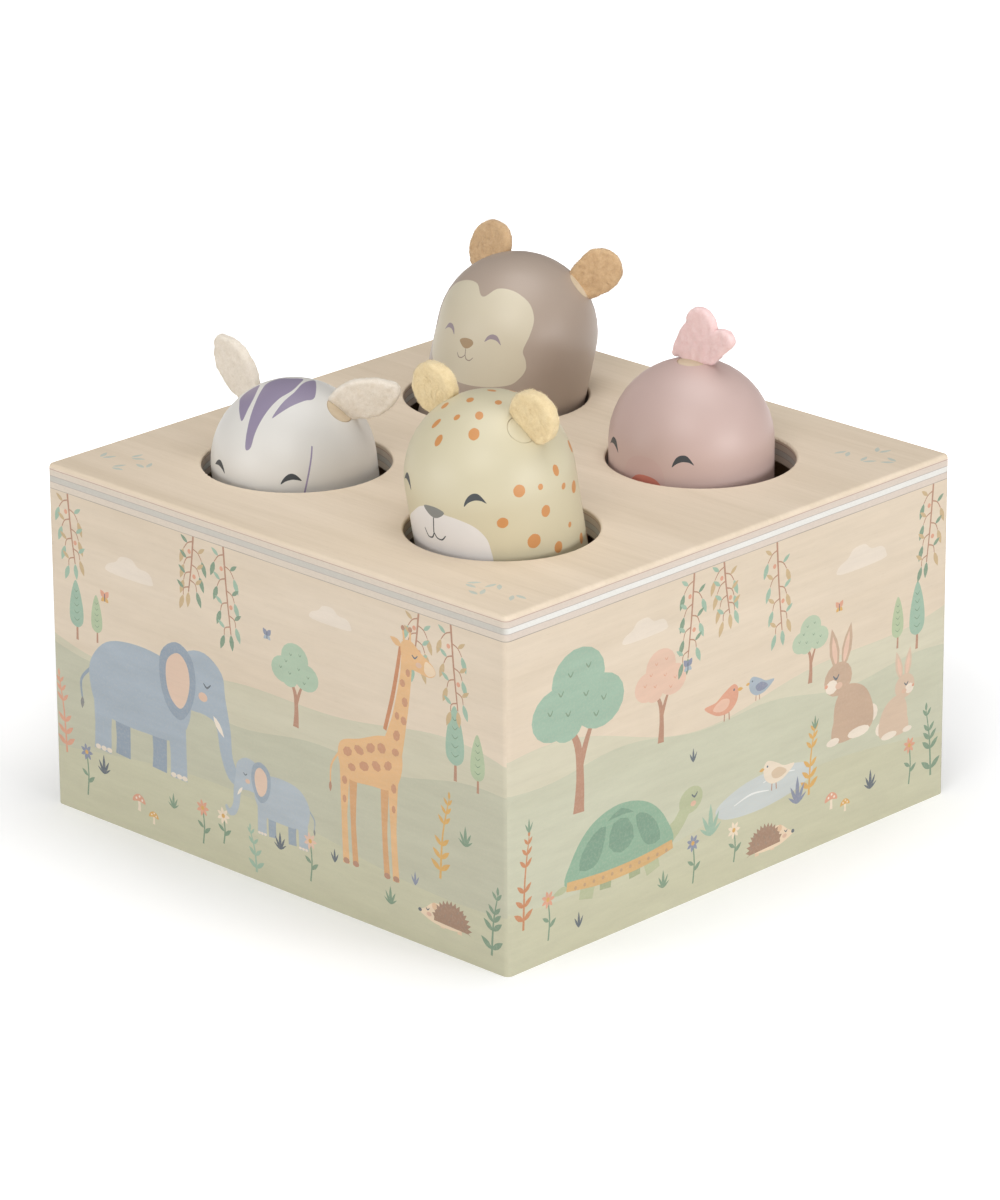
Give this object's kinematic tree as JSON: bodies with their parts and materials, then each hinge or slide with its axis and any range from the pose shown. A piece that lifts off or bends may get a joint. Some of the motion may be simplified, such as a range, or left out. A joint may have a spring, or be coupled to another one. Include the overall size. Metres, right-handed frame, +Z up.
{
  "type": "pop up animal toy",
  "caption": "Square plywood box toy whose round holes hold loose, sprung wooden animal figures with domed heads and felt ears.",
  "frame": {"origin": "middle of the box's underside, on the surface it stands on", "axes": "+Z up, -Y the way the figures look, +X to their left"},
  "size_m": [0.15, 0.15, 0.1245],
  "materials": {
    "bare_plywood": "clear matt lacquer, five plies at the edges",
    "printed_panel": "matt print on plywood",
    "inner_wood": "bare sanded wood",
    "screw_steel": "bright zinc",
    "spring_steel": "drawn wire",
    "zebra_paint": "satin paint on wood",
    "leopard_paint": "satin paint on wood",
    "flamingo_paint": "satin paint on wood",
    "monkey_paint": "satin paint on wood",
    "cream_felt": "pressed felt",
    "straw_felt": "pressed felt",
    "tan_felt": "pressed felt",
    "pink_felt": "pressed felt",
    "plug_wood": "bare end grain"
  },
  "bodies": {
    "box": {"top_panel": "bare_plywood", "front_panel": "printed_panel", "right_panel": "printed_panel", "back_panel": "printed_panel", "left_panel": "printed_panel", "base_panel": "bare_plywood", "front_left_post": "inner_wood", "front_right_post": "inner_wood", "back_right_post": "inner_wood", "back_left_post": "inner_wood", "base_screws": "screw_steel", "foot_screws": "screw_steel", "zebra_spring_foot": "inner_wood", "leopard_spring_foot": "inner_wood", "flamingo_spring_foot": "inner_wood", "monkey_spring_foot": "inner_wood"},
    "zebra_spring_end": {"zebra_spring": "spring_steel"},
    "zebra_cap": {"zebra_spring_cap": "inner_wood"},
    "zebra": {"zebra_figure": "zebra_paint", "zebra_left_ear": "cream_felt", "zebra_right_ear": "cream_felt", "zebra_left_ear_plug": "plug_wood", "zebra_right_ear_plug": "plug_wood"},
    "leopard_spring_end": {"leopard_spring": "spring_steel"},
    "leopard_cap": {"leopard_spring_cap": "inner_wood"},
    "leopard": {"leopard_figure": "leopard_paint", "leopard_left_ear": "straw_felt", "leopard_right_ear": "straw_felt", "leopard_left_ear_plug": "plug_wood", "leopard_right_ear_plug": "plug_wood"},
    "flamingo_spring_end": {"flamingo_spring": "spring_steel"},
    "flamingo_cap": {"flamingo_spring_cap": "inner_wood"},
    "flamingo": {"flamingo_figure": "flamingo_paint", "flamingo_comb": "pink_felt", "flamingo_comb_plug": "plug_wood"},
    "monkey_spring_end": {"monkey_spring": "spring_steel"},
    "monkey_cap": {"monkey_spring_cap": "inner_wood"},
    "monkey": {"monkey_figure": "monkey_paint", "monkey_left_ear": "tan_felt", "monkey_right_ear": "tan_felt", "monkey_left_ear_plug": "plug_wood", "monkey_right_ear_plug": "plug_wood"}
  },
  "joints": [
    {"name": "zebra_press", "type": "slide", "parent": "box", "child": "zebra_spring_end", "axis": [0.0519, -0.181, 0.9821], "range_m": [-0.011, 0.00175], "stiffness_N_per_m": 265, "springref_m": 0.00175, "deforming": ["zebra_spring"]},
    {"name": "zebra_turn", "type": "hinge", "parent": "zebra_spring_end", "child": "zebra_cap", "pos_m": [-0.03588, -0.0265, 0.0435], "axis": [0.0519, -0.181, 0.9821], "continuous": true},
    {"name": "zebra_lift_out", "type": "slide", "parent": "zebra_cap", "child": "zebra", "axis": [0.0519, -0.181, 0.9821], "range_m": [0, 0.06]},
    {"name": "leopard_press", "type": "slide", "parent": "box", "child": "leopard_spring_end", "axis": [0.0109, -0.2078, 0.9781], "range_m": [-0.018, 0.0021], "stiffness_N_per_m": 265, "springref_m": 0.0021, "deforming": ["leopard_spring"]},
    {"name": "leopard_turn", "type": "hinge", "parent": "leopard_spring_end", "child": "leopard_cap", "pos_m": [0.03285, -0.02532, 0.0435], "axis": [0.0109, -0.2078, 0.9781], "continuous": true},
    {"name": "leopard_lift_out", "type": "slide", "parent": "leopard_cap", "child": "leopard", "axis": [0.0109, -0.2078, 0.9781], "range_m": [0, 0.06]},
    {"name": "flamingo_press", "type": "slide", "parent": "box", "child": "flamingo_spring_end", "axis": [0, 0, 1], "range_m": [-0.018, 0.00186], "stiffness_N_per_m": 265, "springref_m": 0.00186, "deforming": ["flamingo_spring"]},
    {"name": "flamingo_turn", "type": "hinge", "parent": "flamingo_spring_end", "child": "flamingo_cap", "pos_m": [0.03193, 0.03196, 0.0435], "axis": [0, 0, 1], "continuous": true},
    {"name": "flamingo_lift_out", "type": "slide", "parent": "flamingo_cap", "child": "flamingo", "axis": [0, 0, 1], "range_m": [0, 0.06]},
    {"name": "monkey_press", "type": "slide", "parent": "box", "child": "monkey_spring_end", "axis": [0.078, 0.2202, 0.9723], "range_m": [-0.018, 0.00214], "stiffness_N_per_m": 265, "springref_m": 0.00214, "deforming": ["monkey_spring"]},
    {"name": "monkey_turn", "type": "hinge", "parent": "monkey_spring_end", "child": "monkey_cap", "pos_m": [-0.03574, 0.02546, 0.0435], "axis": [0.078, 0.2202, 0.9723], "continuous": true},
    {"name": "monkey_lift_out", "type": "slide", "parent": "monkey_cap", "child": "monkey", "axis": [0.078, 0.2202, 0.9723], "range_m": [0, 0.06]}
  ]
}
